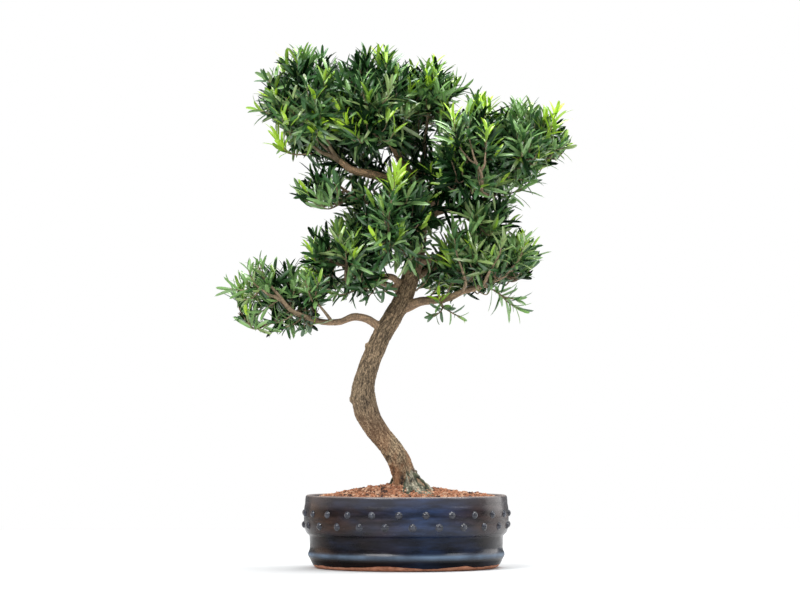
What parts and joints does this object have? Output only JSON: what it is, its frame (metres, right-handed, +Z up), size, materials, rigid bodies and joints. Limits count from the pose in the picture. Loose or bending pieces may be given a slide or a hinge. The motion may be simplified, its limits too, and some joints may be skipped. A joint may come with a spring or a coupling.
{
  "type": "podocarpus bonsai",
  "caption": "Bonsai tree with a leaning, bent trunk, spreading boughs and dense pads of narrow leaves, growing in a round studded drum pot filled with clay granules.",
  "frame": {"origin": "centre of the pot's flat underside, at the mount base", "axes": "+Z up, along the plant's height; the front, where both lower boughs spread sideways, faces -Y, and +X points to the front view's right"},
  "size_m": [0.4427, 0.2696, 0.6723],
  "materials": {
    "glaze": "gloss",
    "soil": "matte",
    "bark": "matte",
    "foliage": "satin"
  },
  "bodies": {
    "root": {"pot": "glaze", "soil": "soil", "trunk": "bark", "bough_top_centre": "bark", "bough_top_left": "bark", "bough_top_right": "bark", "bough_top_back_left": "bark", "bough_top_back_right": "bark", "bough_right_inner": "bark", "bough_right_outer": "bark", "bough_right_back": "bark", "bough_mid_left": "bark", "bough_front": "bark", "bough_mid_back": "bark", "bough_right_mid": "bark", "bough_right_low": "bark", "bough_right_low_back": "bark", "bough_left_mid": "bark", "bough_left_back": "bark", "bough_left_low": "bark", "bough_sprig_centre": "bark", "foliage_top_centre": "foliage", "foliage_top_left": "foliage", "foliage_top_right": "foliage", "foliage_top_back_left": "foliage", "foliage_top_back_right": "foliage", "foliage_right_inner": "foliage", "foliage_right_outer": "foliage", "foliage_right_back": "foliage", "foliage_mid_left": "foliage", "foliage_front": "foliage", "foliage_mid_back": "foliage", "foliage_right_mid": "foliage", "foliage_right_low": "foliage", "foliage_right_low_back": "foliage", "foliage_left_mid": "foliage", "foliage_left_back": "foliage", "foliage_left_low": "foliage", "foliage_sprig_centre": "foliage", "foliage_sprig_right": "foliage"}
  },
  "joints": []
}
